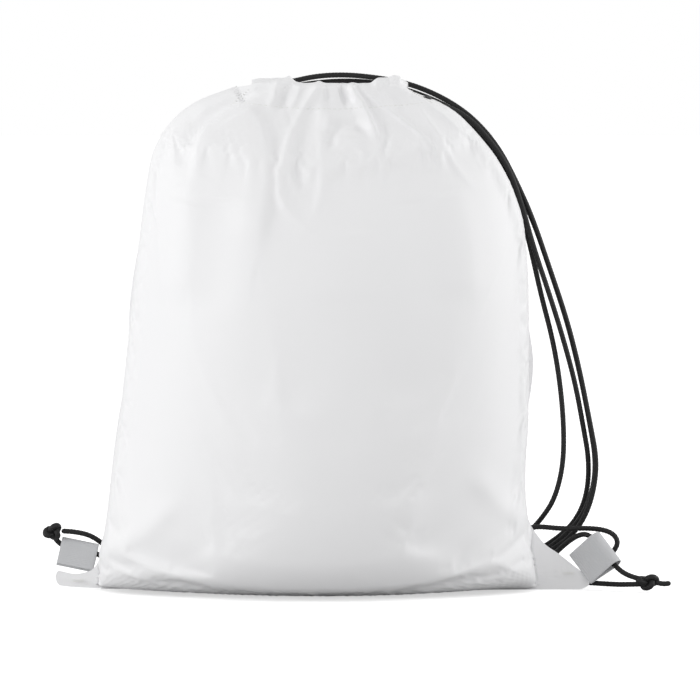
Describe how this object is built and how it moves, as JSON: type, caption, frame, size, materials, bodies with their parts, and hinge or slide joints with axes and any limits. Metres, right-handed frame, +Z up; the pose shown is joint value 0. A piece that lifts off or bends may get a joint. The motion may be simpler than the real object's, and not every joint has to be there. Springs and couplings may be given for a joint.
{
  "type": "drawstring backpack",
  "caption": "White drawstring backpack standing lightly filled: sewn fabric panels, mouth gathered on black drawcords threaded through grey webbing loops at the bottom corners.",
  "frame": {"origin": "middle of the flattened bottom, on the bottom seam between the front and back panels, at floor level", "axes": "+X along the bag's width towards the corner whose loop and knot lie free on the floor, +Y from the front panel to the back panel, +Z up to the gathered mouth"},
  "size_m": [0.4241, 0.1886, 0.3456],
  "materials": {
    "bag_cloth": "satin",
    "webbing": "matte",
    "sewing_thread": "satin",
    "label_satin": "satin",
    "cord": "matte"
  },
  "bodies": {
    "bag": {"front_panel": "bag_cloth", "back_panel": "bag_cloth", "back_casing": "bag_cloth", "left_side_seam": "bag_cloth", "right_side_seam": "bag_cloth", "bottom_seam": "bag_cloth", "back_hem_stitches": "sewing_thread", "back_casing_tacks": "sewing_thread", "left_loop_tack": "sewing_thread", "right_loop_tack": "sewing_thread", "care_label": "label_satin", "left_drawcord": "cord", "right_drawcord": "cord", "left_knot": "cord", "right_knot": "cord"},
    "front_hem": {"front_casing": "bag_cloth", "front_hem_stitches": "sewing_thread", "front_casing_tacks": "sewing_thread"},
    "left_loop": {"left_webbing_loop": "webbing"},
    "right_loop": {"right_webbing_loop": "webbing"}
  },
  "joints": [
    {"name": "front_casing_hinge", "type": "hinge", "parent": "bag", "child": "front_hem", "pos_m": [0, -0.02, 0.318], "axis": [1, 0, 0], "range_deg": [-8, 15]},
    {"name": "left_loop_hinge", "type": "hinge", "parent": "bag", "child": "left_loop", "pos_m": [-0.1665, 0, 0.0152], "axis": [0.9792, 0, -0.203], "range_deg": [-8, 5]},
    {"name": "right_loop_hinge", "type": "hinge", "parent": "bag", "child": "right_loop", "pos_m": [0.1712, 0, 0.0139], "axis": [0.5672, -0.3902, -0.7253], "range_deg": [-8, 8]}
  ]
}
